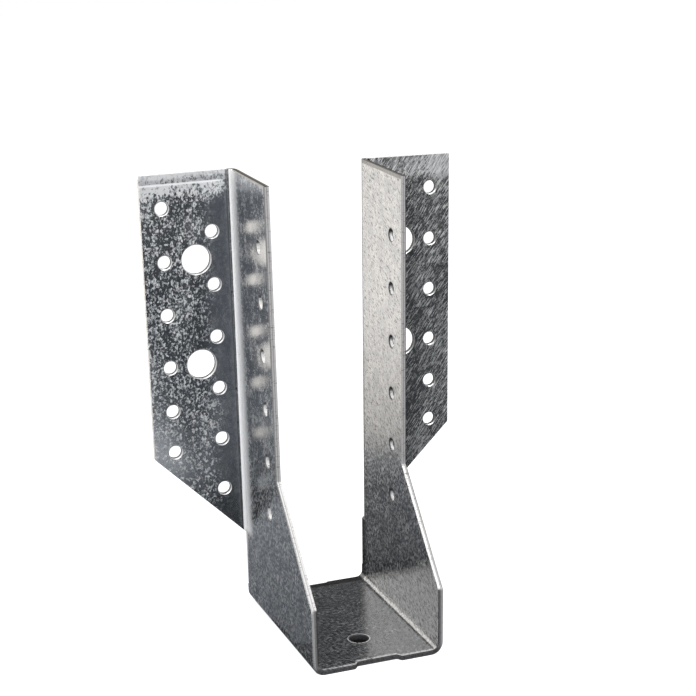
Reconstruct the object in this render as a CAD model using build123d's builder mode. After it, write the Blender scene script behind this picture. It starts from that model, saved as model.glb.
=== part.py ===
from build123d import *
import math
import os

# Joist hanger, punched and folded from one blank of galvanised steel sheet.
# Frame: +Z is up, the seat rests on Z = 0, and X = 0 is the mirror plane between the walls.
# The header stands behind the hanger, at +Y, and the joist comes in from the front, at -Y.
# Lengths are in millimetres and angles in degrees.

# Sheet and folds
sheet = 2.0
seat_fold = 2.5  # inside radius of the folds between seat and walls
flange_fold = 1.5  # inside radius of the folds between walls and flanges
wall_lean = 0.6  # springback: how far each wall stands open from square
edge_roll = 0.35  # easing that the punch leaves round every edge and hole, on the outer side

# Seat
joist_width = 46.0  # clear width between the walls, at the seat
seat_depth = 75.0  # header to front edge
seat_hole = 7.0
seat_hole_setback = 20.0  # from the front edge
recess_width = 15.0  # shallow recesses, front and rear, left by the strip that carried the blank
recess_flank = 55.0
recess_corner = 0.8
front_recess_depth = 2.0
rear_recess_depth = 0.7

# Walls, with heights taken from the top face of the seat
wall_height = 169.0  # at the fold to the flange
top_fall = 1.0  # how much lower the wall's top edge ends at the upright front edge
top_level = 6.0  # the top edge stays level this far from the header, past the fold
wall_depth = 41.0  # header to the upright front edge
cheek_top = 60.0  # where the upright front edge turns into the slope
cheek_foot = 23.0  # where the slope reaches the full depth of the seat
cheek_corner = 1.5
heel_setback = 0.6  # the wall's back edge below the flange stays this far off the header
heel_start = 5.0

# Flanges, with widths taken from the outer face of the wall
flange_width = 34.5
flange_drop = 142.0  # from the top edge down to where the sloping lower edge meets the wall
flange_slope = 45.0

# Nail and bolt holes, with heights taken down from the top edge
nail_hole = 5.0
nail_pitch = 20.0
bolt_hole = 11.0
bolt_pitch = 40.0
outer_nails_edge = 8.0  # from the flange's outer edge
outer_nails_drop = 12.5
outer_nails_count = 4
outer_nails_low = (89.5, 105.5)  # drops of the two below them, which sit closer together
inner_nails_offset = 8.0  # from the wall's outer face
inner_nails_drop = 22.5
inner_nails_count = 6
bolts_edge = 20.0  # from the flange's outer edge
bolts_drop = 32.5
bolts_count = 2
wall_nails_edge = 9.5  # from the wall's upright front edge
wall_nails_drop = 24.0
wall_nails_count = 6

# Worked-out places
half_width = joist_width / 2
header = seat_depth / 2
fold_outside = flange_fold + sheet
flange_edge = sheet + flange_width
lean = math.radians(wall_lean)
outward = Vector(math.cos(lean), 0, -math.sin(lean))
upward = Vector(math.sin(lean), 0, math.cos(lean))
wall_foot = Vector(half_width, header, sheet)
wall_top = wall_foot + upward * wall_height
across_wall = Axis(wall_foot, outward)
fold_angle = 90 - wall_lean
fold_tangent = seat_fold * math.tan(math.radians(fold_angle / 2))
clear = 2 * sheet  # how far a cutter reaches past what it cuts
near_zero = 0.001

# Planes of the right-hand wall, all through the line where its inner face meets the seat
plan = Plane(origin=wall_foot, x_dir=outward, z_dir=upward)
from_front = Plane(origin=wall_foot, x_dir=outward, z_dir=(0, -1, 0))
from_side = Plane(origin=wall_foot, x_dir=(0, 1, 0), z_dir=outward)


def flange_lower_edge(across):
    """Height of the flange's sloping lower edge at a distance from the wall's inner face."""
    return wall_height - flange_drop + (across - sheet) * math.tan(math.radians(flange_slope))


def column(top_drop, pitch, count):
    """Heights of a column of holes, from the top one down."""
    return [wall_height - top_drop - pitch * row for row in range(count)]


def skin(all_faces, seed):
    """The faces of one side of the sheet, followed from a seed face over the smooth edges."""
    found, waiting = [seed], [seed]
    while waiting:
        face = waiting.pop()
        for near in all_faces:
            shared = [edge @ 0.5 for edge in near.edges() if edge in face.edges()]
            smooth = [near.normal_at(here).dot(face.normal_at(here)) > 0.99 for here in shared]
            if any(smooth) and near not in found:
                found.append(near)
                waiting.append(near)
    return found


def outline(skin_faces):
    """The edges that bound a set of faces: its outer outline and its holes."""
    borders = ShapeList(edge for face in skin_faces for edge in face.edges())
    return ShapeList(edge for edge in borders if borders.count(edge) == 1)


outer_nail_heights = column(outer_nails_drop, nail_pitch, outer_nails_count)
outer_nail_heights += [wall_height - drop for drop in outer_nails_low]
inner_nail_heights = column(inner_nails_drop, nail_pitch, inner_nails_count)
bolt_heights = column(bolts_drop, bolt_pitch, bolts_count)
wall_nail_heights = column(wall_nails_drop, nail_pitch, wall_nails_count)


# Right-hand flange with its fold, trimmed to the outline that it has from the front
with BuildPart() as flange:
    with BuildSketch(plan):
        with BuildLine():
            bend = CenterArc((fold_outside, -fold_outside), fold_outside, 180, -90)
            Line(bend @ 1, (flange_edge, 0))
            offset(amount=sheet, side=Side.RIGHT)
        make_face()
    extrude(amount=wall_height)
    with BuildSketch(from_front):
        with BuildLine():
            Polyline(
                (-clear, flange_lower_edge(-clear)),
                (flange_edge, flange_lower_edge(flange_edge)),
                (flange_edge, wall_height),
                (-clear, wall_height),
                close=True,
            )
        make_face()
    extrude(amount=fold_outside, mode=Mode.INTERSECT)

    # Eased edges of the front side, but not where the fold runs on into the wall
    rim = outline(skin(faces(), faces().filter_by(Axis.Y).sort_by(Axis.Y)[0]))
    chamfer(rim.sort_by(Axis.Y)[1:], length=edge_roll)

    # Nail and bolt holes, eased on the front side
    with BuildSketch(from_front):
        with Locations([(flange_edge - outer_nails_edge, height) for height in outer_nail_heights]):
            Circle(nail_hole / 2)
        with Locations([(sheet + inner_nails_offset, height) for height in inner_nail_heights]):
            Circle(nail_hole / 2)
        with Locations([(flange_edge - bolts_edge, height) for height in bolt_heights]):
            Circle(bolt_hole / 2)
    extrude(amount=clear, both=True, mode=Mode.SUBTRACT)
    chamfer(edges(Select.LAST).group_by(Axis.Y)[0], length=edge_roll)

with BuildPart() as hanger:
    # Right-hand half of the seat, its fold and the wall
    with BuildSketch(Plane.XZ.offset(-header)):
        with BuildLine():
            seat_line = Line((0, sheet), (half_width - fold_tangent, sheet))
            fold_arc = JernArc(seat_line @ 1, seat_line % 1, radius=seat_fold, arc_size=fold_angle)
            Line(fold_arc @ 1, (wall_top.X, wall_top.Z))
            offset(amount=sheet, side=Side.RIGHT)
        make_face()
    extrude(amount=seat_depth)

    # Outline of the wall: a top edge that falls to the front, an upright edge, then a slope down
    with BuildSketch(from_side):
        with BuildLine():
            Polyline(
                (-top_level, wall_height + clear),
                (-top_level, wall_height),
                (-wall_depth, wall_height - top_fall),
                (-wall_depth, cheek_top),
                (-seat_depth, cheek_foot),
                (-seat_depth - clear, cheek_foot),
                (-seat_depth - clear, wall_height + clear),
                close=True,
            )
        make_face()
    extrude(amount=clear, both=True, mode=Mode.SUBTRACT)
    cheek_foot_edge = edges().filter_by(across_wall).group_by(Axis.Y)[0].sort_by(Axis.Z)[-1]
    fillet(cheek_foot_edge, radius=cheek_corner)

    # Back edge of the wall: set back a little from the header, and open where the flange folds off
    with BuildSketch(from_side):
        with BuildLine():
            Polyline(
                (0, heel_start),
                (-heel_setback, heel_start + heel_setback),
                (-heel_setback, wall_height + clear),
                (clear, wall_height + clear),
                (clear, heel_start),
                close=True,
            )
        make_face()
    extrude(amount=clear, both=True, mode=Mode.SUBTRACT)
    with BuildSketch(from_front):
        with BuildLine():
            Polyline(
                (-clear, flange_lower_edge(-clear)),
                (clear, flange_lower_edge(clear)),
                (clear, wall_height + clear),
                (-clear, wall_height + clear),
                close=True,
            )
        make_face()
    extrude(amount=fold_outside, mode=Mode.SUBTRACT)

    # Half of each shallow recess in the seat's edges
    for side, depth in ((-1, front_recess_depth), (1, rear_recess_depth)):
        edge = side * header
        floor = edge - side * depth
        mouth = recess_width / 2 + depth / math.tan(math.radians(recess_flank))
        with BuildSketch():
            with BuildLine():
                FilletPolyline((0, floor), (recess_width / 2, floor), (mouth, edge), radius=recess_corner)
                Polyline((mouth, edge), (mouth, edge + side * clear), (0, edge + side * clear), (0, floor))
            make_face()
        extrude(amount=clear, mode=Mode.SUBTRACT)
        corners = edges().filter_by(Axis.Z).filter_by_position(Axis.Y, edge, edge)
        fillet(corners.sort_by(Axis.X)[0], radius=recess_corner)

    # Eased edges of the outer side, but not where the fold or the other half carries on
    rim = outline(skin(faces(), faces().filter_by(Axis.Z).sort_by(Axis.Z)[0]))
    fold_root = plan.from_local_coords(Vector(sheet, -fold_outside, flange_lower_edge(sheet)))
    joins = [edge for edge in rim if (edge @ 0 - fold_root).length < near_zero]
    joins += [edge for edge in rim if (edge @ 1 - fold_root).length < near_zero]
    joins += [edge for edge in rim if abs(edge.center().X) < near_zero]
    chamfer([edge for edge in rim if edge not in joins], length=edge_roll)

    # Nail holes in the wall, eased on the outer side
    with BuildSketch(from_side):
        with Locations([(wall_nails_edge - wall_depth, height) for height in wall_nail_heights]):
            Circle(nail_hole / 2)
    extrude(amount=clear, both=True, mode=Mode.SUBTRACT)
    chamfer(edges(Select.LAST).group_by(across_wall)[-1], length=edge_roll)

    add(flange.part)
    mirror(about=Plane.YZ)

    # Hole in the seat, punched from above and so eased there
    with BuildSketch():
        with Locations((0, seat_hole_setback - header)):
            Circle(seat_hole / 2)
    extrude(amount=clear, mode=Mode.SUBTRACT)
    chamfer(edges(Select.LAST).sort_by(Axis.Z)[-1], length=edge_roll)

hanger.part.label = "folded_hanger"

os.makedirs("parts", exist_ok=True)
export_step(hanger.part, "parts/folded_hanger.step")
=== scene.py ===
"""Looks of a folded joist hanger: galvanised faces, sheared edges, studio and camera.

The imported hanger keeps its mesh. Each face gets one of three finishes by where it lies on the sheet, and
every vertex gets its place on the flat blank, so that the zinc pattern runs on round the folds.
"""

import logging
import math
from dataclasses import dataclass, field
from enum import Enum
from functools import cached_property
from typing import Any

import bpy
from mathutils import Matrix, Vector


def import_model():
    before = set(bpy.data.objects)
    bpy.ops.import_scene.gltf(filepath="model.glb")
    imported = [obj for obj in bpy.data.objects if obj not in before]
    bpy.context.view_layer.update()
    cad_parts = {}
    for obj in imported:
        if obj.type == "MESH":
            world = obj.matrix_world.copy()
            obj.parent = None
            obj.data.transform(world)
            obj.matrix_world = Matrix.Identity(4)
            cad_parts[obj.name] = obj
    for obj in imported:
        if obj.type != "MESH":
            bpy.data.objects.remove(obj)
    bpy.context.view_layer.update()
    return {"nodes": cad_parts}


LOG = logging.getLogger("hanger")
MM = 0.001

Number = float | int
Colour = tuple[float, float, float]


class Skin(Enum):
    """The sides of the sheet that a face can belong to."""

    JOIST = 0
    OUTER = 1
    EDGE = 2


class Signal:
    """A shader socket that takes part in Python expressions."""

    def __init__(self, recipe: "Recipe", socket: bpy.types.NodeSocket) -> None:
        """Keeps the socket and the recipe that new nodes are added to.

        Args:
            recipe: The node tree being written.
            socket: An output socket of one of its nodes.
        """
        self.recipe = recipe
        self.socket = socket

    def __add__(self, other: "Signal | Number") -> "Signal":
        """Sum with a signal or a number."""
        return self.recipe.maths("ADD", self, other)

    def __radd__(self, other: Number) -> "Signal":
        """Sum with a number on the left."""
        return self.recipe.maths("ADD", other, self)

    def __sub__(self, other: "Signal | Number") -> "Signal":
        """Difference from a signal or a number."""
        return self.recipe.maths("SUBTRACT", self, other)

    def __rsub__(self, other: Number) -> "Signal":
        """Difference with a number on the left, such as 1 - mask."""
        return self.recipe.maths("SUBTRACT", other, self)

    def __mul__(self, other: "Signal | Number") -> "Signal":
        """Product with a signal or a number."""
        return self.recipe.maths("MULTIPLY", self, other)

    def __rmul__(self, other: Number) -> "Signal":
        """Product with a number on the left."""
        return self.recipe.maths("MULTIPLY", other, self)

    def __truediv__(self, other: "Signal | Number") -> "Signal":
        """Quotient by a signal or a number."""
        return self.recipe.maths("DIVIDE", self, other)

    def __abs__(self) -> "Signal":
        """Distance from zero."""
        return self.recipe.maths("ABSOLUTE", self, 0.0)

    def clamp(self) -> "Signal":
        """The value kept between 0 and 1."""
        return self.recipe.maths("MINIMUM", self.recipe.maths("MAXIMUM", self, 0.0), 1.0)

    def ramp(self, low: Number, high: Number) -> "Signal":
        """Smooth rise from 0 where the value is low to 1 where it is high.

        Args:
            low: Value at which the rise starts.
            high: Value at which it ends. A high below low turns it into a fall.

        Returns:
            The eased value between 0 and 1.
        """
        straight = ((self - low) / (high - low)).clamp()
        return straight * straight * (3.0 - 2.0 * straight)

    def band(self, low: Number, high: Number, soft: Number) -> "Signal":
        """Window that is 1 between two values and fades out on both sides.

        Args:
            low: Value at the middle of the first fade.
            high: Value at the middle of the second fade.
            soft: Width of each fade.

        Returns:
            The window's value between 0 and 1.
        """
        rise = self.ramp(low - soft / 2, low + soft / 2)
        return rise * self.ramp(high + soft / 2, high - soft / 2)


Value = Signal | Number


class Recipe:
    """Writes the nodes of one material or world."""

    RELIEF = 0.1 * MM

    def __init__(self, tree: bpy.types.NodeTree) -> None:
        """Starts from an empty tree.

        Args:
            tree: The node tree to fill.
        """
        self.tree = tree
        tree.nodes.clear()

    def node(
        self,
        kind: str,
        settings: dict[str, Any] | None = None,
        inputs: dict[str | int, Any] | None = None,
    ) -> bpy.types.Node:
        """Adds a node, sets it up, then fills its sockets.

        Args:
            kind: Blender's name of the node type.
            settings: The node's own settings.
            inputs: Values or signals by socket name or number.

        Returns:
            The new node.
        """
        made = self.tree.nodes.new(kind)
        for name, value in (settings or {}).items():
            setattr(made, name, value)
        for name, value in (inputs or {}).items():
            if isinstance(value, Signal):
                self.tree.links.new(value.socket, made.inputs[name])
            else:
                made.inputs[name].default_value = value
        return made

    def out(self, node: bpy.types.Node, name: str | int = 0) -> Signal:
        """One output of a node, by its name or number, as a signal."""
        return Signal(self, node.outputs[name])

    def maths(self, operation: str, first: Value, second: Value) -> Signal:
        """Adds one Math node.

        Args:
            operation: Blender's name of the operation.
            first: Left value.
            second: Right value.

        Returns:
            The result.
        """
        return self.out(self.node("ShaderNodeMath", {"operation": operation}, {0: first, 1: second}))

    def distance(self, first: Signal, second: Signal) -> Signal:
        """Length of a flat vector.

        Args:
            first: One of its parts.
            second: The other part.

        Returns:
            The length.
        """
        return self.maths("POWER", first * first + second * second, 0.5)

    def from_row(self, place: Signal, first: Number, pitch: Number) -> Signal:
        """Distance from the nearest of evenly spaced places.

        Args:
            place: The place along the row.
            first: One of the spaced places.
            pitch: Distance between two of them.

        Returns:
            The signed distance, between minus and plus half a pitch.
        """
        node = self.node(
            "ShaderNodeMath", {"operation": "WRAP"}, {0: place - first, 1: pitch / 2, 2: -pitch / 2}
        )
        return self.out(node)

    def mix(self, factor: Value, low: Signal | Colour, high: Signal | Colour) -> Signal:
        """Blends two colours.

        Args:
            factor: 0 gives low and 1 gives high.
            low: First colour.
            high: Second colour.

        Returns:
            The blended colour.
        """
        low_value = low if isinstance(low, Signal) else (*low, 1.0)
        high_value = high if isinstance(high, Signal) else (*high, 1.0)
        mixed = self.node(
            "ShaderNodeMix", {"data_type": "RGBA"}, {"Factor": factor, 6: low_value, 7: high_value}
        )
        return self.out(mixed, 2)

    def blend(self, factor: Signal, low: Value, high: Value) -> Signal:
        """Value between two others.

        Args:
            factor: 0 gives low and 1 gives high.
            low: First value.
            high: Second value.

        Returns:
            The blended value.
        """
        return (1.0 - factor) * low + factor * high

    def noise(self, size: tuple[Value, Value, Value], detail: float, roughness: float = 0.5) -> Signal:
        """Cloudy noise at a point of its own space.

        Args:
            size: The point's three coordinates, each already divided by the grain's size.
            detail: Octaves of finer grain.
            roughness: Weight of the finer grain.

        Returns:
            A value around 0.5.
        """
        spot = self.node("ShaderNodeCombineXYZ", inputs={0: size[0], 1: size[1], 2: size[2]})
        cloud = self.node(
            "ShaderNodeTexNoise",
            {"noise_dimensions": "3D"},
            {"Vector": self.out(spot), "Scale": 1.0, "Detail": detail, "Roughness": roughness},
        )
        return self.out(cloud, 0)

    def cells(self, size: tuple[Value, Value, Value], shift: Signal) -> Signal:
        """Irregular cells, each with its own random value.

        Args:
            size: The point's three coordinates, each already divided by the cells' size.
            shift: Moves the point a little, so that the cells' borders are not straight.

        Returns:
            The cell's value between 0 and 1.
        """
        moved = {0: size[0] + shift, 1: size[1] + shift, 2: size[2]}
        spot = self.node("ShaderNodeCombineXYZ", inputs=moved)
        cell = self.node("ShaderNodeTexVoronoi", inputs={"Vector": self.out(spot), "Scale": 1.0})
        split = self.node("ShaderNodeSeparateColor", inputs={0: self.out(cell, "Color")})
        return self.out(split, 0)

    def surface(
        self, colour: Signal, metallic: Signal, roughness: Signal, height: Signal, bump: float
    ) -> None:
        """Ends the tree with a shader and the material's output.

        Args:
            colour: Base colour.
            metallic: 1 for bare metal, less for matt zinc.
            roughness: Roughness of the reflections.
            height: Relief, around 0.5.
            bump: Strength of the relief.
        """
        relief = self.node(
            "ShaderNodeBump", inputs={"Strength": bump, "Distance": self.RELIEF, "Height": height}
        )
        shader = self.node(
            "ShaderNodeBsdfPrincipled",
            inputs={
                "Base Color": colour,
                "Metallic": metallic,
                "Roughness": roughness,
                "Normal": self.out(relief),
            },
        )
        self.node("ShaderNodeOutputMaterial", inputs={"Surface": self.out(shader)})


def new_material(name: str) -> tuple[bpy.types.Material, Recipe]:
    """Adds a material.

    Args:
        name: The material's name.

    Returns:
        The material and the recipe for its nodes.
    """
    material = bpy.data.materials.new(name)
    material.use_nodes = True
    return material, Recipe(material.node_tree)


@dataclass(frozen=True)
class Grain:
    """One noise over the blank: the size of its grain in millimetres, and how rough it is."""

    along: float
    across: float
    layer: float  # keeps this noise apart from the others
    detail: float  # octaves of finer grain
    roughness: float = 0.5  # weight of the finer grain


class BlankPlace:
    """Where a point of the sheet lies on the flat blank, in millimetres.

    The nodes behind a signal are added when it is first used.
    """

    TOP = 192.5  # place of the top edge along the blank
    FLANGE_START = 37.9  # place across the blank where the fold ends and the flange starts
    SIDE_GAP = 3.0  # how far apart the two sides of the sheet lie in the noises
    NAIL_DROP = 24.0  # from the top edge to the wall's first nail hole
    NAIL_ACROSS = 6.0  # place across the blank of the wall's nail holes
    NAIL_PITCH = 20.0

    def __init__(self, recipe: Recipe) -> None:
        """Reads the place that the mesh carries: along the blank, across it, and through the sheet.

        Args:
            recipe: The node tree being written.
        """
        self.recipe = recipe
        place = recipe.node("ShaderNodeAttribute", {"attribute_name": FoldedHanger.PLACE})
        parts = recipe.node("ShaderNodeSeparateXYZ", inputs={0: recipe.out(place, "Vector")})
        self.along, self.across, self.depth = (recipe.out(parts, axis) for axis in range(3))

    @cached_property
    def reach(self) -> Signal:
        """Distance from the mirror plane, along the blank."""
        return abs(self.along)

    @cached_property
    def drop(self) -> Signal:
        """Distance below the top edge."""
        return self.TOP - self.reach

    @cached_property
    def right(self) -> Signal:
        """1 on the right-hand half of the hanger and 0 on the left."""
        return self.recipe.maths("GREATER_THAN", self.along, 0.0)

    @cached_property
    def left(self) -> Signal:
        """1 on the left-hand half of the hanger and 0 on the right."""
        return 1.0 - self.right

    @cached_property
    def joist_side(self) -> Signal:
        """1 on the side that faces the joist and 0 on the outer side."""
        return 1.0 - self.depth

    @cached_property
    def flange(self) -> Signal:
        """1 on the flanges and 0 on the walls and the seat."""
        return self.across.ramp(self.FLANGE_START - 0.5, self.FLANGE_START + 0.5)

    @cached_property
    def nail_row(self) -> Signal:
        """Distance along the blank from the nearest nail hole of the wall."""
        return self.recipe.from_row(self.drop, self.NAIL_DROP, self.NAIL_PITCH)

    @cached_property
    def layer(self) -> Signal:
        """Third coordinate of the noises, so that the two sides of the sheet differ."""
        return self.depth * self.SIDE_GAP

    def grain(self, kind: Grain, across: Signal | None = None) -> Signal:
        """Noise over the blank.

        Args:
            kind: Size and roughness of its grain.
            across: Slanted place across the blank, for a grain that leans.

        Returns:
            A value around 0.5.
        """
        place = self.across if across is None else across
        size = (self.along / kind.along, place / kind.across, self.layer + kind.layer)
        return self.recipe.noise(size, kind.detail, kind.roughness)


class ZincPattern(BlankPlace):
    """Pattern of the zinc over the blank: crystals, scratches and pits, the marks of the tools, and
    painted highlights and shade.

    Pairs of places or drops say where something starts and where it is in full.
    """

    CLOUDS = Grain(22.0, 14.0, 7.0, 2.0)
    FLECKS = Grain(0.875, 0.70, 0.0, 5.0, 0.7)
    DUST = Grain(0.35, 0.35, 2.0, 2.0)
    SCRATCHES = Grain(3.4, 0.50, 0.0, 3.0, 0.6)
    SPECKS = Grain(1.3, 1.5, 1.0, 5.0, 0.68)
    PATCHES = Grain(7.0, 6.0, 5.0, 3.0, 0.6)
    ROLLING = Grain(9.0, 0.9, 3.0, 3.0, 0.6)
    MOTTLING = Grain(1.3, 1.1, 4.0, 3.0, 0.6)
    PITTING = Grain(1.35, 1.3, 9.0, 2.0)
    CRYSTAL = (1.1, 0.9)  # size of one crystal, along the blank and across it

    COVER = (0.45, 0.68)  # noise values between which a crystal fades in
    SCRATCH_COVER = (0.555, 0.62)  # the same for a scratch, and so on
    SPECK_COVER = (0.42, 0.70)
    MOTTLE_COVER = (0.36, 0.64)
    PIT_COVER = (0.55, 0.66)
    CLOUD_COVER = (0.48, 0.66)
    SCRATCH_SLANT = -0.7  # how the scratches lean: across the blank, for each millimetre along it
    PIT_SLANT = -1.2  # the same for the pits on the walls

    SMOOTH_STRIP = (41.0, 52.0)  # beside the left fold the tool pressed the crystals flat
    STRIP_TOP = (14.0, 6.0)  # drops over which that strip narrows
    STRIP_NARROWS = 9.0  # and by how much
    OUTER_PART = (54.0, 66.0)  # the outer part of the right-hand flange has more scratches
    OUTER_HAZE = (50.0, 66.0)
    UPPER_HAZE = (48.0, 20.0)  # drops
    THINNER = (90.0, 125.0)  # drops over which the left flange's crystals thin out
    TOP_LINE = 3.85  # drop of a thin bright line across the left flange
    LINE_START = (38.5, 42.0)
    BRIGHT_ZONE = (6.5, 1.5)  # how far below that line the crystals lie closer together
    TOP_HIGHLIGHT = (2.6, 0.2)  # drops of the painted highlight along the left flange's top edge

    FOLD_FADE = (24.2, 35.0)  # the painted highlight along the fold starts on the wall
    FOLD_WIDER = (50.0, 120.0)  # drops over which it widens a little
    FOLD_FOOT = (49.0, 53.0)  # places along the blank, at the fold's lower end
    FOLD_LAG = 1.55  # how far short of the flange it ends, at the top
    FOLD_GAIN = 0.0073  # how much less short, for each millimetre down
    TURN = (32.9, 33.9)  # painted shade where the right wall turns into its fold
    TURN_DROPS = (45.0, 95.0)
    DENT_SIZE = 0.35
    TOOL_DENTS = (-146.3, -108.9, -95.4)  # places along the blank of small dents in the left fold, painted dark as shade

    QUIET = 0.66  # strength of the specks on the walls
    SEAT = (26.0, 22.0)
    LOW = (115.0, 75.0)  # the lower walls are mottled
    SHADED_WALL = (95.0, 130.0)
    LIGHTER_WALL = (60.0, 95.0)
    ROLLED_WALL = (26.0, 40.0)
    WALL_TOP = (4.5, 1.0)  # drops
    TOP_FALL = (31.5, 35.0)  # the wall's top edge falls 1 in 35 from this place across
    ROLLED_EDGE = (1.5, 1.2)  # distances from the wall's top edge
    ROLLED_END = (37.0, 34.0)
    NAIL_RIM = (3.05, 2.6)  # distances from the axis of the hole
    NAIL_ROWS = (13.0, 15.0)  # drops
    NAIL_FOOT = (57.0, 59.0)

    LAG_SHADE = 0.7  # strength of the painted shade on the strip between the left fold and its flange
    TURN_SHADE = 0.85  # the same for the other painted shades
    STRIP_SHADE = 0.14
    RIM_SHADE = 0.6

    FRONT_EDGE = -37.5  # place across the blank of the seat's front edge
    FRONT_HIGHLIGHT = (1.8, 0.5)  # distances from the front edge
    HIGHLIGHT_END = (24.0, 20.0)
    RECESS_DEPTH = 2.0
    RECESS_FLANK = (9.0, 7.5)
    SEAT_HOLE = -17.5  # place across the blank of the hole in the seat
    HOLE_RING = (4.45, 4.1)  # distances from its axis

    @cached_property
    def clouds(self) -> Signal:
        """Broad, soft clouds."""
        return self.grain(self.CLOUDS)

    @cached_property
    def drift(self) -> Signal:
        """Millimetres by which the clouds move the borders of the zones."""
        return (self.clouds - 0.5) * 8.0

    @cached_property
    def flecks(self) -> Signal:
        """Fine, crisp grain of the flanges."""
        return self.grain(self.FLECKS)

    @cached_property
    def specks(self) -> Signal:
        """Fine grain of the walls and the seat."""
        return self.grain(self.SPECKS)

    @cached_property
    def patches(self) -> Signal:
        """Patches a few millimetres wide."""
        return self.grain(self.PATCHES)

    @cached_property
    def seat(self) -> Signal:
        """1 on the seat."""
        return self.reach.ramp(*self.SEAT)

    @cached_property
    def low(self) -> Signal:
        """1 on the seat and the lower walls."""
        return self.reach.ramp(*self.LOW)

    @cached_property
    def crystals(self) -> Signal:
        """1 where the flanges kept their crystals."""
        strip_place = self.across + self.drift * 0.7 + self.STRIP_NARROWS * self.drop.ramp(*self.STRIP_TOP)
        return self.recipe.blend(self.right, strip_place.ramp(*self.SMOOTH_STRIP), self.flange)

    @cached_property
    def under_line(self) -> Signal:
        """Distance below the bright line across the left flange."""
        return self.drop - self.TOP_LINE

    @cached_property
    def above(self) -> Signal:
        """1 above that line, and less on the right."""
        return self.under_line.ramp(0.0, -0.5) * (1.0 - 0.4 * self.right)

    @cached_property
    def bright(self) -> Signal:
        """Zone at the top of the flanges where the crystals lie closer together."""
        return self.crystals * (self.under_line + self.drift * 0.3).ramp(*self.BRIGHT_ZONE)

    @cached_property
    def closer(self) -> Signal:
        """How much more of the flanges the crystals cover than they do on average."""
        thinner = 0.03 * self.drop.ramp(*self.THINNER) * self.left
        return self.bright * (0.13 - 0.05 * self.right) - thinner

    @cached_property
    def scratched(self) -> Signal:
        """Slanted scratches of the right-hand flange."""
        scratches = self.grain(self.SCRATCHES, self.across + self.along * self.SCRATCH_SLANT)
        more = self.closer * 0.5 + (self.clouds - 0.5) * 0.12 + self.across.ramp(*self.OUTER_PART) * 0.03
        return (scratches + more).ramp(*self.SCRATCH_COVER)

    @cached_property
    def crystal(self) -> Signal:
        """Matt crystals of the flanges, mixed with the scratches on the right."""
        size = (self.along / self.CRYSTAL[0], self.across / self.CRYSTAL[1], self.layer)
        shades = self.recipe.cells(size, 0.6 * self.flecks)
        dust = self.grain(self.DUST)
        more = self.closer + (self.clouds - 0.5) * 0.14 + self.above * 0.02
        crystal = self.flecks + (shades - 0.5) * 0.22 + more
        crystal = crystal.ramp(*self.COVER) * (0.45 + 0.30 * shades + 0.25 * self.bright + 0.5 * dust)
        crystal = self.recipe.blend(self.right, crystal, self.scratched * 0.60 + crystal * 0.40)
        return crystal * (1.0 - 0.5 * self.above)

    @cached_property
    def haze(self) -> Signal:
        """Thin veil between the crystals."""
        outer = 0.12 * self.bright + 0.12 * self.across.ramp(*self.OUTER_HAZE)
        upper = self.drop.ramp(*self.UPPER_HAZE) * 0.08
        return self.clouds.ramp(*self.CLOUD_COVER) * 0.10 + self.right * outer + upper

    @cached_property
    def rubbed_top_and_highlight(self) -> Signal:
        """Matt band that the shear rubbed along the top edge of the flanges, and a painted highlight along
        the left flange's top edge.
        """
        band = self.above * self.flange * (1.0 - self.crystals)
        # painted highlight along the left flange's top edge
        edge = self.flange * self.left * self.drop.ramp(*self.TOP_HIGHLIGHT)
        return band * (0.10 + 0.30 * self.flecks.ramp(0.35, 0.65)) + edge * (0.3 + 0.5 * self.flecks)

    @cached_property
    def wall_grain_and_shading(self) -> Signal:
        """Weak matt grain of the walls, mottled lower down and on the seat. Higher up, the left wall is
        darker with painted shade, and its outer side is lighter above mid-height, with a painted highlight
        along its top.
        """
        rolling = (self.grain(self.ROLLING) - 0.5) * 0.2 * self.reach.ramp(*self.ROLLED_WALL)
        grain = self.specks + (self.patches - 0.5) * 0.6 + rolling
        grain = grain.ramp(*self.SPECK_COVER) * self.QUIET
        # painted shade higher up the left wall
        grain = grain * (1.0 - 0.25 * self.left * self.reach.ramp(*self.SHADED_WALL))
        outer_wall = self.left * (1.0 - self.flange)
        # painted highlight along the top of the left wall's outer side
        grain = grain + outer_wall * self.drop.ramp(*self.WALL_TOP) * (0.15 + 0.3 * self.specks)
        # the left wall's outer side is lighter above mid-height
        grain = grain + outer_wall * self.reach.ramp(*self.LIGHTER_WALL) * 0.06
        fine = self.grain(self.MOTTLING).ramp(*self.MOTTLE_COVER)
        mottled = (0.20 + (fine - 0.5) * 0.7 + (self.patches - 0.5) * 0.9).clamp()
        grain = self.recipe.blend(self.low, grain, mottled)
        return grain * (1.0 - 0.4 * self.seat) * (1.0 - self.flange * (0.85 + 0.15 * self.crystals))

    @cached_property
    def hole_rim_highlight(self) -> Signal:
        """Painted highlight on the rim round the hole in the seat."""
        from_axis = self.recipe.distance(self.along, self.across - self.SEAT_HOLE)
        return from_axis.ramp(*self.HOLE_RING) * 0.8

    @cached_property
    def front_edge_highlight(self) -> Signal:
        """Painted highlight along the seat's front edge, which follows the recess."""
        recess = self.RECESS_DEPTH * self.reach.ramp(*self.RECESS_FLANK)
        from_front = self.across - self.FRONT_EDGE - recess
        # painted highlight in a band along the front edge
        burr = from_front.ramp(*self.FRONT_HIGHLIGHT) * self.reach.ramp(*self.HIGHLIGHT_END)
        return burr * (0.5 + self.specks * 0.6)

    @cached_property
    def matt(self) -> Signal:
        """All of the matt zinc, and the painted highlights that share its colour."""
        faint = self.flange * self.left * (1.0 - self.crystals) * self.crystal * 0.12
        matt = self.crystals * (self.crystal + self.haze) + self.wall_grain_and_shading + self.bright * 0.05 + faint
        return (matt + self.rubbed_top_and_highlight + self.hole_rim_highlight + self.front_edge_highlight).clamp()

    @cached_property
    def fold_end(self) -> Signal:
        """Place across the blank where the painted highlight along the fold ends."""
        return self.FLANGE_START - self.FOLD_LAG + self.drop * self.FOLD_GAIN

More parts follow.
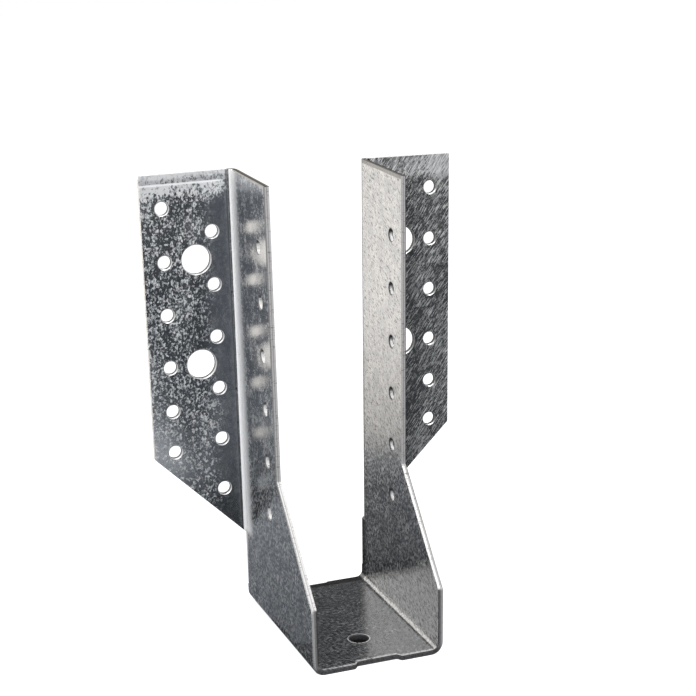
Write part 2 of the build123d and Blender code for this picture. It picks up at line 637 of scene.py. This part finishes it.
    @cached_property
    def pressed_and_highlight(self) -> Signal:
        """White paint: a painted highlight along the folds, a thin bright line across the left flange, and
        the right-hand flange's scratches, whitened as a painted highlight.
        """
        wider = self.drop.ramp(*self.FOLD_WIDER) * 0.4
        # painted highlight on the outer side of the folds between the walls and the flanges
        fold = (self.across + wider).ramp(*self.FOLD_FADE) * self.depth
        fold = fold * (self.across - self.fold_end).ramp(0.15, -0.15) * self.reach.ramp(*self.FOLD_FOOT)
        line = self.flange * self.left * self.under_line.band(-0.35, 0.35, 0.4)
        line = line * self.across.ramp(*self.LINE_START)
        pressed_and_highlight = self.recipe.maths("MAXIMUM", fold * (0.84 + 0.4 * self.specks), line)
        # the right-hand flange's scratches, whitened further as a painted highlight
        scratches = self.right * self.flange * self.scratched * (0.50 + 0.40 * self.bright)
        return self.recipe.maths("MAXIMUM", pressed_and_highlight, scratches)

    @cached_property
    def pits_and_shade(self) -> Signal:
        """Real pits, and painted shade beside the folds, over the smooth strip of the left flange and
        round the right wall's nail holes.
        """
        pits = self.grain(self.PITTING, self.across + self.reach * self.PIT_SLANT)
        worked = 0.25 + 0.50 * self.low * self.left
        worked = worked + 0.60 * self.right * (1.0 - self.seat) + 0.10 * self.seat
        pits_and_shade = (pits + 0.045 * self.low).ramp(*self.PIT_COVER) * (1.0 - self.flange) * worked
        # painted shade on the strip between the left fold and its flange
        lag = self.left * self.depth * self.across.band(self.fold_end, self.FLANGE_START + 0.5, 0.3)
        # painted shade where the right wall turns into its fold
        turn = self.across.ramp(*self.TURN) * self.drop.ramp(*self.TURN_DROPS)
        turn = turn * self.right * self.joist_side
        pits_and_shade = self.recipe.maths("MAXIMUM", pits_and_shade, lag * self.LAG_SHADE + turn * self.TURN_SHADE)
        # painted shade over the smooth strip of the left flange
        strip = self.flange * self.left * (1.0 - self.crystals) * self.STRIP_SHADE
        pits_and_shade = self.recipe.maths("MAXIMUM", pits_and_shade, strip)
        # painted shade round the right wall's nail holes
        from_axis = self.recipe.distance(self.nail_row, self.across - self.NAIL_ACROSS)
        rim = from_axis.ramp(*self.NAIL_RIM) * self.right * self.joist_side
        rim = rim * self.drop.ramp(*self.NAIL_ROWS) * self.reach.ramp(*self.NAIL_FOOT)
        return self.recipe.maths("MAXIMUM", pits_and_shade, rim * self.RIM_SHADE)

    @cached_property
    def rolled_edge_shade(self) -> Signal:
        """Band along the top of the right wall that the shear rolled over, painted dark as its shade."""
        fall = ((self.TOP_FALL[0] - self.across) / self.TOP_FALL[1]).clamp()
        band = (self.drop - fall).ramp(*self.ROLLED_EDGE) * self.across.ramp(*self.ROLLED_END)
        return band * self.right * self.joist_side * 0.9

    @cached_property
    def dent_shades(self) -> Signal:
        """Painted shade in small dents in the left fold."""
        strip = self.across.band(self.FLANGE_START - 0.5, self.FLANGE_START + 0.3, 0.3)
        size = self.DENT_SIZE
        return strip * sum(self.along.band(dent - size, dent + size, 0.3) for dent in self.TOOL_DENTS)


@dataclass(frozen=True)
class GalvanisedFace:
    """Zinc-coated face: a dull mirror, broken up by small matt crystals, with painted highlights and
    shade.
    """

    name: str
    zinc: Colour = (0.30, 0.316, 0.338)
    plain_zinc: Colour = (0.31, 0.31, 0.312)  # on the right-hand flange
    # colour of the matt crystals, also used for painted highlights at the seat and the flanges' tops
    crystal: Colour = (0.80, 0.805, 0.81)
    # white of the painted highlights along the folds and on the scratches, and of the thin line
    pressed_and_highlight: Colour = (0.99, 0.993, 0.996)
    # colour of the pits and of the painted shade
    pits_and_shade: Colour = (0.07, 0.07, 0.07)
    # painted shade of the rolled band along the top of the right wall
    rolled_edge_shade: Colour = (0.17, 0.165, 0.16)
    # colour of the painted shade in the dents
    dent: Colour = (0.03, 0.03, 0.03)
    mirror_roughness: float = 0.16
    crystal_roughness: float = 0.45
    pressed_and_highlight_roughness: float = 0.42
    crystal_metallic: float = 0.35
    pressed_and_highlight_metallic: float = 0.2
    bump: float = 0.10

    def build(self) -> bpy.types.Material:
        """Writes the material.

        Returns:
            The new material.
        """
        material, recipe = new_material(self.name)
        pattern = ZincPattern(recipe)
        colour = recipe.mix(pattern.right * pattern.flange, self.zinc, self.plain_zinc)
        colour = recipe.mix(pattern.matt, colour, self.crystal)
        colour = recipe.mix(pattern.pits_and_shade, colour, self.pits_and_shade)
        colour = recipe.mix(pattern.pressed_and_highlight, colour, self.pressed_and_highlight)
        colour = recipe.mix(pattern.rolled_edge_shade, colour, self.rolled_edge_shade)
        colour = recipe.mix(pattern.dent_shades, colour, self.dent)
        roughness = recipe.blend(pattern.matt, self.mirror_roughness, self.crystal_roughness)
        roughness = recipe.blend(pattern.pressed_and_highlight, roughness, self.pressed_and_highlight_roughness)
        metallic = recipe.blend(pattern.matt, 1.0, self.crystal_metallic)
        metallic = recipe.blend(pattern.pressed_and_highlight, metallic, self.pressed_and_highlight_metallic) * (1.0 - pattern.rolled_edge_shade)
        height = pattern.flecks + pattern.specks * 0.4
        recipe.surface(colour, metallic, roughness, height, self.bump)
        return material


class EdgeZones(BlankPlace):
    """Zones of the cut edges, through the sheet and round the blank.

    Depths run from 0 on the joist side to 1 on the outer side. Pairs say where something starts and where
    it is in full, or between which places it lies.
    """

    WAVE = 1.5  # size of the waves in the line along the edge
    TEAR = 0.5  # size of the tears
    TEAR_DEPTH = 1.2
    TEAR_COVER = (0.57, 0.66)

    RIM = (0.79, 0.83)  # depths
    OUTER = (0.42, 0.54)
    LINE = (0.40, 0.56)
    BURR = (0.30, 0.14)

    SEAT = (26.0, 23.0)  # up to this place along the blank lie the seat's front and rear edges, painted with shade
    FOOT = (46.8, 46.3)
    SLOPE = (46.8, 83.6)  # the wall's sloping edge, along the blank
    SLOPE_ACROSS = (-37.2, -3.8)
    WALL_TOP = (1.25, 1.05)  # drops
    FOLD_START = 34.0
    HOLE_DROPS = (4.0, 5.0)
    HOLE_ACROSS = (38.9, 69.0)
    LOWEST_HOLE = (175.5, 174.5)  # drop plus place across, between the lowest hole and the lower edge
    NAILS_ACROSS = (2.9, 9.1)
    SEAT_HOLE = (5.0, 4.5)
    SEAT_HOLE_ACROSS = (-22.0, -13.0)

    @cached_property
    def tears(self) -> Signal:
        """Grain of the torn metal."""
        size = (self.along / self.TEAR, self.across / self.TEAR, self.depth * self.TEAR_DEPTH)
        return self.recipe.noise(size, 3.0, 0.6)

    @cached_property
    def level(self) -> Signal:
        """Depth through the sheet, with waves along the edge."""
        waves = self.recipe.noise((self.along / self.WAVE, self.across / self.WAVE, 0.0), 3.0, 0.6)
        return self.depth + (waves - 0.5) * 0.10

    @cached_property
    def rim(self) -> Signal:
        """Eased rim on the outer side."""
        return self.depth.ramp(*self.RIM)

    @cached_property
    def outer(self) -> Signal:
        """Outer half of the edge."""
        return self.level.ramp(*self.OUTER)

    @cached_property
    def line(self) -> Signal:
        """Thin line along the middle of the edge."""
        return self.level.band(*self.LINE, 0.06)

    @cached_property
    def burr(self) -> Signal:
        """Burr on the joist side of the left half."""
        return self.level.ramp(*self.BURR) * self.left

    @cached_property
    def seat(self) -> Signal:
        """Front and rear edges of the seat."""
        return self.reach.ramp(*self.SEAT)

    @cached_property
    def foot(self) -> Signal:
        """Upright edges at the foot of the walls."""
        return self.reach.ramp(*self.FOOT) * (1.0 - self.seat)

    @cached_property
    def slope(self) -> Signal:
        """Sloping edges of the walls."""
        return self.reach.band(*self.SLOPE, 0.5) * self.across.band(*self.SLOPE_ACROSS, 0.4)

    @cached_property
    def flange_top(self) -> Signal:
        """Top edges of the flanges."""
        start = self.across.ramp(self.FLANGE_START - 1.0, self.FLANGE_START)
        return self.drop.ramp(*self.WALL_TOP) * start

    @cached_property
    def wall_top(self) -> Signal:
        """Top edges of the walls, which fade out along the fold."""
        return self.drop.ramp(*self.WALL_TOP) * self.across.ramp(self.FLANGE_START, self.FOLD_START)

    @cached_property
    def hole(self) -> Signal:
        """Walls of the holes in the flanges and in the seat."""
        flange = self.drop.ramp(*self.HOLE_DROPS) * self.across.band(*self.HOLE_ACROSS, 1.0)
        flange = flange * (self.drop + self.across).ramp(*self.LOWEST_HOLE)
        seat = self.reach.ramp(*self.SEAT_HOLE) * self.across.band(*self.SEAT_HOLE_ACROSS, 0.5)
        return (flange + seat).clamp()

    @cached_property
    def nail(self) -> Signal:
        """Walls of the nail holes in the walls of the hanger."""
        return self.drop.ramp(*self.HOLE_DROPS) * self.across.band(*self.NAILS_ACROSS, 0.4)

    @cached_property
    def lit(self) -> Signal:
        """Side of those nail holes that catches the light."""
        right = self.nail_row.ramp(-1.2, 0.6) * self.depth.ramp(0.10, 0.45)
        return self.recipe.blend(self.left, right, self.nail_row.ramp(-1.4, -0.6))

    @cached_property
    def wall_rim(self) -> Signal:
        """Rim along the walls, which is duller above the slope."""
        return self.across.ramp(self.FOLD_START, self.FOLD_START - 2.0) * self.reach.ramp(*self.SLOPE)


@dataclass(frozen=True)
class ShearedEdge:
    """Cut edge of the sheet, from the burr on the joist side to the eased rim on the outer side, with
    painted highlights and shade.
    """

    name: str
    torn: Colour = (0.62, 0.60, 0.60)
    line: Colour = (0.40, 0.385, 0.385)
    rim: Colour = (0.85, 0.85, 0.85)
    wall_rim: Colour = (0.27, 0.27, 0.27)
    burr: Colour = (0.72, 0.71, 0.71)
    # colours of the painted highlight on the sloping edges
    slope_highlight: Colour = (0.94, 0.93, 0.92)
    slope_highlight_outer: Colour = (0.50, 0.49, 0.48)
    slope_highlight_left: Colour = (0.74, 0.73, 0.725)
    shade: Colour = (0.05, 0.05, 0.055)
    top_inner: Colour = (0.20, 0.185, 0.175)
    top_outer: Colour = (0.05, 0.045, 0.04)
    top_edge_highlight: Colour = (0.95, 0.95, 0.95)
    hole_wall_shade: Colour = (0.07, 0.07, 0.07)
    nail_wall_highlight: Colour = (0.97, 0.96, 0.95)
    rim_roughness: float = 0.4
    torn_roughness: float = 0.6
    rim_metallic: float = 0.85
    torn_metallic: float = 0.35
    bump: float = 0.25

    def build(self) -> bpy.types.Material:
        """Writes the material.

        Returns:
            The new material.
        """
        material, recipe = new_material(self.name)
        zones = EdgeZones(recipe)
        metal = self.torn_metallic * (1.0 - zones.nail) * (1.0 - zones.hole)
        metallic = recipe.blend(zones.rim, metal, self.rim_metallic) * (1.0 - zones.flange_top)
        roughness = recipe.blend(zones.rim, self.torn_roughness, self.rim_roughness)
        height = zones.tears * (1.0 - zones.rim)
        recipe.surface(self._colour(recipe, zones), metallic, roughness, height, self.bump)
        return material

    def _colour(self, recipe: Recipe, zones: EdgeZones) -> Signal:
        """Paints the zones over each other.

        Args:
            recipe: The node tree being written.
            zones: The zones of the edge in that tree.

        Returns:
            The edge's colour.
        """
        colour = recipe.mix(zones.line, self.torn, self.line)
        colour = recipe.mix(zones.burr, colour, self.burr)
        # painted shade at the foot of the walls' upright edges
        colour = recipe.mix(zones.foot * (1.0 - zones.depth.ramp(0.0, 0.75)), colour, self.shade)
        # painted highlight on the sloping edges of the walls, duller on their outer half and on the left
        slope_highlight = recipe.mix(zones.outer, self.slope_highlight, self.slope_highlight_outer)
        slope_highlight = recipe.mix(zones.left, slope_highlight, self.slope_highlight_left)
        slope_highlight = recipe.mix(zones.left * zones.line * 0.8, slope_highlight, self.line)
        colour = recipe.mix(zones.slope, colour, slope_highlight)
        top = recipe.mix(zones.depth.ramp(0.1, 0.8), self.top_inner, self.top_outer)
        top = recipe.mix(zones.depth.ramp(0.10, 0.04), top, self.shade)
        colour = recipe.mix(zones.wall_top, colour, top)
        # painted shade on the walls of the holes in the flanges and in the seat
        colour = recipe.mix(zones.hole, colour, self.hole_wall_shade)
        # painted highlight on the lit side of the nail holes' walls, painted shade on the rest
        colour = recipe.mix(zones.nail, colour, recipe.mix(zones.lit, self.shade, self.nail_wall_highlight))
        colour = recipe.mix(zones.rim, colour, recipe.mix(zones.wall_rim, self.rim, self.wall_rim))
        # painted highlight on the top edges of the flanges
        colour = recipe.mix(zones.flange_top, colour, self.top_edge_highlight)
        # painted shade on the seat's front and rear edges
        colour = recipe.mix(zones.seat * (0.85 + 0.5 * (zones.tears - 0.5)), colour, self.shade)
        tears = zones.tears.ramp(*zones.TEAR_COVER) * (1.0 - zones.hole) * 0.7
        return recipe.mix(tears, colour, self.shade)


@dataclass
class FoldedHanger:
    """The hanger's one folded sheet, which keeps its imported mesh. Sizes are in millimetres."""

    PLACE = "place_on_blank"
    NODE = "folded_hanger"

    sheet: float = 2.0
    seat_fold: float = 2.5
    flange_fold: float = 1.5
    half_width: float = 23.0
    header: float = 37.5
    lean: float = math.radians(0.6)
    flange_foot: float = 27.0  # height above the seat at which the flange's lower edge meets the wall
    near: float = 0.02
    joist_side: GalvanisedFace = GalvanisedFace("zinc_joist_side")
    outer_side: GalvanisedFace = GalvanisedFace("zinc_outer_side")
    cut_edge: ShearedEdge = ShearedEdge("sheared_edge")

    def place_on_blank(self, point: Vector) -> Vector:
        """Finds where a point of the folded sheet lay on the flat blank.

        Args:
            point: The point in the row frame, in metres.

        Returns:
            Millimetres along the blank from the mirror plane, millimetres across it towards the flange's
            outer edge, and depth through the sheet, from 0 on the joist side to 1 on the outer side.
        """
        side = -1.0 if point.x < 0 else 1.0
        x, y, z = abs(point.x) / MM, point.y / MM, point.z / MM
        out = (x - self.half_width) * math.cos(self.lean) - (z - self.sheet) * math.sin(self.lean)
        up = (x - self.half_width) * math.sin(self.lean) + (z - self.sheet) * math.cos(self.lean)
        turn = math.pi / 2 - self.lean
        tangent = self.seat_fold * math.tan(turn / 2)
        arc = (self.seat_fold + self.sheet / 2) * turn
        corner_x, corner_z = self.half_width - tangent, self.sheet + self.seat_fold
        if up < tangent and x > corner_x:  # fold between seat and wall
            angle = math.atan2(x - corner_x, corner_z - z)
            angle = min(max(angle, 0.0), turn)
            reach = math.hypot(x - corner_x, z - corner_z)
            along = corner_x + arc * angle / turn
            return Vector((side * along, y, (reach - self.seat_fold) / self.sheet))
        if z < corner_z and x <= corner_x:  # seat
            return Vector((side * x, y, (self.sheet - z) / self.sheet))
        along = side * (corner_x + arc + up - tangent)
        outer_fold = self.flange_fold + self.sheet
        back = y - self.header
        foot = self.flange_foot + out - self.sheet
        if back <= -outer_fold or up < foot - self.near:  # wall
            return Vector((along, y, out / self.sheet))
        bend = (self.flange_fold + self.sheet / 2) * math.pi / 2
        if out < outer_fold:  # fold between wall and flange
            angle = math.atan2(back + outer_fold, outer_fold - out)
            reach = math.hypot(outer_fold - out, back + outer_fold)
            across = self.header - outer_fold + bend * angle / (math.pi / 2)
            return Vector((along, across, (outer_fold - reach) / self.sheet))
        return Vector((along, self.header - outer_fold + bend + out - outer_fold, -back / self.sheet))

    def skin_of(self, depths: list[float]) -> Skin:
        """Tells which side of the sheet a face lies on.

        Args:
            depths: Depth through the sheet at each of the face's corners.

        Returns:
            The joist side, the outer side, or an edge.
        """
        if max(depths) < self.near:
            return Skin.JOIST
        if min(depths) > 1.0 - self.near:
            return Skin.OUTER
        return Skin.EDGE

    def dress(self, hanger: bpy.types.Object) -> None:
        """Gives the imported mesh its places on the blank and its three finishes.

        Args:
            hanger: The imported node's object.
        """
        mesh = hanger.data
        places = [self.place_on_blank(vertex.co) for vertex in mesh.vertices]
        layer = mesh.attributes.new(self.PLACE, "FLOAT_VECTOR", "POINT")
        layer.data.foreach_set("vector", [part for place in places for part in place])
        mesh.materials.clear()
        finishes = {Skin.JOIST: self.joist_side, Skin.OUTER: self.outer_side, Skin.EDGE: self.cut_edge}
        for skin in Skin:
            mesh.materials.append(finishes[skin].build())
        counts = dict.fromkeys(Skin, 0)
        for face in mesh.polygons:
            skin = self.skin_of([places[corner].z for corner in face.vertices])
            face.material_index = skin.value
            counts[skin] += 1
        LOG.info("folded_hanger: %s", {skin.name: count for skin, count in counts.items()})


@dataclass
class Photographer:
    """Camera at the photograph's place, with lens and angles fitted to the hanger's holes and edges."""

    position: Vector = field(default_factory=lambda: Vector((-0.2029, -0.5446, 0.2618)))
    azimuth: float = math.radians(20.86)
    elevation: float = math.radians(14.78)
    roll: float = math.radians(-1.12)
    lens: float = 85.9
    sensor: float = 36.0
    clip_start: float = 0.01

    def place(self) -> None:
        """Adds the camera and makes it the scene's own."""
        data = bpy.data.cameras.new("photo_camera")
        data.lens = self.lens
        data.sensor_width = self.sensor
        data.clip_start = self.clip_start
        camera = bpy.data.objects.new("photo_camera", data)
        bpy.context.scene.collection.objects.link(camera)
        level = math.cos(self.elevation)
        view = Vector(
            (math.sin(self.azimuth) * level, math.cos(self.azimuth) * level, -math.sin(self.elevation))
        )
        turned = view.to_track_quat("-Z", "Y").to_matrix().to_4x4()
        rolled_edge_shade = turned @ Matrix.Rotation(self.roll, 4, "Z")
        camera.matrix_world = Matrix.Translation(self.position) @ rolled_edge_shade
        bpy.context.scene.camera = camera
        LOG.info("camera: lens %.1f mm", self.lens)


@dataclass
class Softbox:
    """A rectangular lamp that faces the hanger."""

    name: str
    position: Vector
    target: Vector
    size: tuple[float, float]
    power: float

    def hang(self) -> None:
        """Adds the lamp."""
        data = bpy.data.lights.new(self.name, "AREA")
        data.shape = "RECTANGLE"
        data.size, data.size_y = self.size
        data.energy = self.power
        lamp = bpy.data.objects.new(self.name, data)
        bpy.context.scene.collection.objects.link(lamp)
        lamp.location = self.position
        lamp.rotation_euler = (self.target - self.position).to_track_quat("-Z", "Y").to_euler()


@dataclass(frozen=True)
class Ring:
    """One ring of a sweep: its distance from the hanger, its height, in metres, and its brightness."""

    reach: float
    height: float
    glow: float


@dataclass(frozen=True)
class Sweep:
    """White card that lies on the floor and may rise from it, seen by the metal only.

    Its angles run from +X, in degrees.
    """

    GLOW = "glow"

    name: str
    arc: tuple[float, float]
    rings: tuple[Ring, ...]
    tint: Colour
    steps: int = 12

    def lay(self) -> None:
        """Adds the card, hidden from the camera and from shadows."""
        first, last = (math.radians(angle) for angle in self.arc)
        angles = [first + (last - first) * step / self.steps for step in range(self.steps + 1)]
        corners = [
            (ring.reach * math.cos(angle), ring.reach * math.sin(angle), ring.height)
            for ring in self.rings
            for angle in angles
        ]
        count = len(angles)
        starts = [row * count + step for row in range(len(self.rings) - 1) for step in range(self.steps)]
        faces = [(start, start + 1, start + count + 1, start + count) for start in starts]
        mesh = bpy.data.meshes.new(self.name)
        mesh.from_pydata(corners, [], faces)
        layer = mesh.attributes.new(self.GLOW, "FLOAT", "POINT")
        layer.data.foreach_set("value", [ring.glow for ring in self.rings for _ in angles])
        card = bpy.data.objects.new(self.name, mesh)
        bpy.context.scene.collection.objects.link(card)
        card.data.materials.append(self._shine())
        card.visible_camera = False
        card.visible_shadow = False

    def _shine(self) -> bpy.types.Material:
        """Writes the card's glow.

        Returns:
            The new material.
        """
        material, recipe = new_material(self.name + "_glow")
        ring = recipe.node("ShaderNodeAttribute", {"attribute_name": self.GLOW})
        glow = recipe.out(ring, "Fac")
        parts = {number: glow * part for number, part in enumerate(self.tint)}
        colour = recipe.node("ShaderNodeCombineXYZ", inputs=parts)
        light = recipe.node("ShaderNodeEmission", inputs={"Color": recipe.out(colour)})
        recipe.node("ShaderNodeOutputMaterial", inputs={"Surface": recipe.out(light)})
        return material


def front_sweep(name: str, arc: tuple[float, float], glow: float, tint: Colour) -> Sweep:
    """Part of the sweep in front of the hanger, evenly bright.

    Args:
        name: The card's name.
        arc: Angles at which it starts and ends.
        glow: Brightness, where 1 is white.
        tint: Colour of its light.

    Returns:
        The card's description.
    """
    rings = (Ring(0.12, 0.001, glow), Ring(0.50, 0.001, glow), Ring(0.50, 0.45, glow))
    return Sweep(name, arc, rings, tint)


@dataclass
class Studio:
    """Floor, white sweeps, dark surroundings and lamps. Lengths are in metres."""

    floor_size: float = 8.0
    white: float = 1.0
    surroundings: float = 0.13
    shown_floor: Colour = (0.45, 0.47, 0.5)
    mirrored_floor: Colour = (0.08, 0.087, 0.095)
    seat_shadow: Colour = (0.01, 0.01, 0.01)
    near_white: Colour = (0.93, 0.93, 0.93)
    far_white: Colour = (1.0, 1.0, 1.0)
    whiter: tuple[float, float] = (0.1, 0.4)  # distances over which the floor turns from one to the other
    seat_half: tuple[float, float] = (0.022, 0.0345)  # half the size of the painted shadow on the floor under the seat
    seat_fade: float = 0.0015
    warm: Colour = (1.0, 0.94, 0.87)
    cool: Colour = (0.90, 0.96, 1.05)
    mild: Colour = (0.95, 0.98, 1.02)
    pale: Colour = (0.97, 0.985, 1.0)
    wall_glow: float = 1.80

    def build(self) -> None:
        """Adds the whole studio."""
        self._surround()
        self._lay_floor()
        for sweep in self._sweeps():
            sweep.lay()
        middle = Vector((0.0, 0.0, 0.08))
        lamps = [
            Softbox("key_softbox", Vector((-0.35, -0.65, 0.85)), middle, (0.8, 0.6), 7.0),
            Softbox("slope_softbox", Vector((0.30, -0.30, 0.95)), middle, (0.45, 0.45), 4.0),
        ]
        for lamp in lamps:
            lamp.hang()
        LOG.info("studio: floor, sweeps and %d lamps", len(lamps))

    def _sweeps(self) -> list[Sweep]:
        """Lists the white cards: three in front of the hanger, two flat ones behind it and one that rises.

        Returns:
            Their descriptions.
        """
        wall = (
            Ring(0.195, 0.001, 0.40),
            Ring(0.215, 0.002, 1.0),
            Ring(0.225, 0.025, 0.7 * self.wall_glow),
            Ring(0.228, 0.065, self.wall_glow),
            Ring(0.24, 0.6, self.wall_glow),
        )
        behind = (Ring(0.05, 0.001, 0.12), Ring(0.16, 0.001, 0.18), Ring(0.195, 0.001, 0.44))
        behind_left = (Ring(0.028, 0.001, 0.19), Ring(0.14, 0.001, 0.35), Ring(0.195, 0.001, 0.52))
        return [
            front_sweep("left_sweep", (195, 228), 1.3, self.pale),
            front_sweep("middle_sweep", (235, 262), 0.45, self.cool),
            front_sweep("right_sweep", (262, 269), 1.5, self.pale),
            Sweep("back_floor", (80, 109), behind, self.mild),
            Sweep("back_left_floor", (109, 200), behind_left, self.cool),
            Sweep("back_sweep", (98, 172), wall, self.warm),
        ]

    def _surround(self) -> None:
        """Makes the world white to the camera and dim to everything else."""
        world = bpy.data.worlds.new("studio_world")
        bpy.context.scene.world = world
        world.use_nodes = True
        recipe = Recipe(world.node_tree)
        path = recipe.node("ShaderNodeLightPath")
        seen = recipe.out(path, "Is Camera Ray")
        strength = seen * (self.white - self.surroundings) + self.surroundings
        white = (1.0, 1.0, 1.0, 1.0)
        light = recipe.node("ShaderNodeBackground", inputs={"Color": white, "Strength": strength})
        recipe.node("ShaderNodeOutputWorld", inputs={"Surface": recipe.out(light)})

    def _lay_floor(self) -> None:
        """Adds the floor, white to the camera with the hanger's soft shadow, and dark in reflections, with
        a painted shadow under the seat.
        """
        half = self.floor_size / 2
        mesh = bpy.data.meshes.new("floor")
        corners = [(-half, -half, 0.0), (half, -half, 0.0), (half, half, 0.0), (-half, half, 0.0)]
        mesh.from_pydata(corners, [], [(0, 1, 2, 3)])
        floor = bpy.data.objects.new("floor", mesh)
        bpy.context.scene.collection.objects.link(floor)
        material, recipe = new_material("pale_floor")
        path = recipe.node("ShaderNodeLightPath")
        place = recipe.node("ShaderNodeTexCoord")
        spot = recipe.node("ShaderNodeSeparateXYZ", inputs={0: recipe.out(place, "Object")})
        east, north = recipe.out(spot, 0), recipe.out(spot, 1)
        wide, deep = self.seat_half
        # painted shadow under the seat, which shows through its hole
        in_seat_shadow = abs(east).ramp(wide + self.seat_fade, wide) * abs(north).ramp(deep + self.seat_fade, deep)
        away = recipe.distance(east, north).ramp(*self.whiter)
        glow = recipe.mix(away, self.near_white, self.far_white)
        dull = {"Roughness": 1.0, "Specular IOR Level": 0.0}
        lit = {"Base Color": (*self.shown_floor, 1.0), "Emission Color": glow, "Emission Strength": 1.0}
        shown = recipe.node("ShaderNodeBsdfPrincipled", inputs=dull | lit)
        unlit = {"Base Color": recipe.mix(in_seat_shadow, self.mirrored_floor, self.seat_shadow)}
        hidden = recipe.node("ShaderNodeBsdfPrincipled", inputs=dull | unlit)
        both = recipe.node(
            "ShaderNodeMixShader",
            inputs={
                0: recipe.out(path, "Is Camera Ray") * (1.0 - in_seat_shadow),
                1: recipe.out(hidden),
                2: recipe.out(shown),
            },
        )
        recipe.node("ShaderNodeOutputMaterial", inputs={"Surface": recipe.out(both)})
        floor.data.materials.append(material)


def main() -> None:
    """Loads the frame, dresses the hanger and builds the studio around it."""
    logging.basicConfig(level=logging.INFO, format="%(message)s")
    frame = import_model()
    Photographer().place()
    FoldedHanger().dress(frame["nodes"][FoldedHanger.NODE])
    Studio().build()
    bpy.context.scene.view_settings.view_transform = "Standard"


if __name__ == "__main__":
    main()
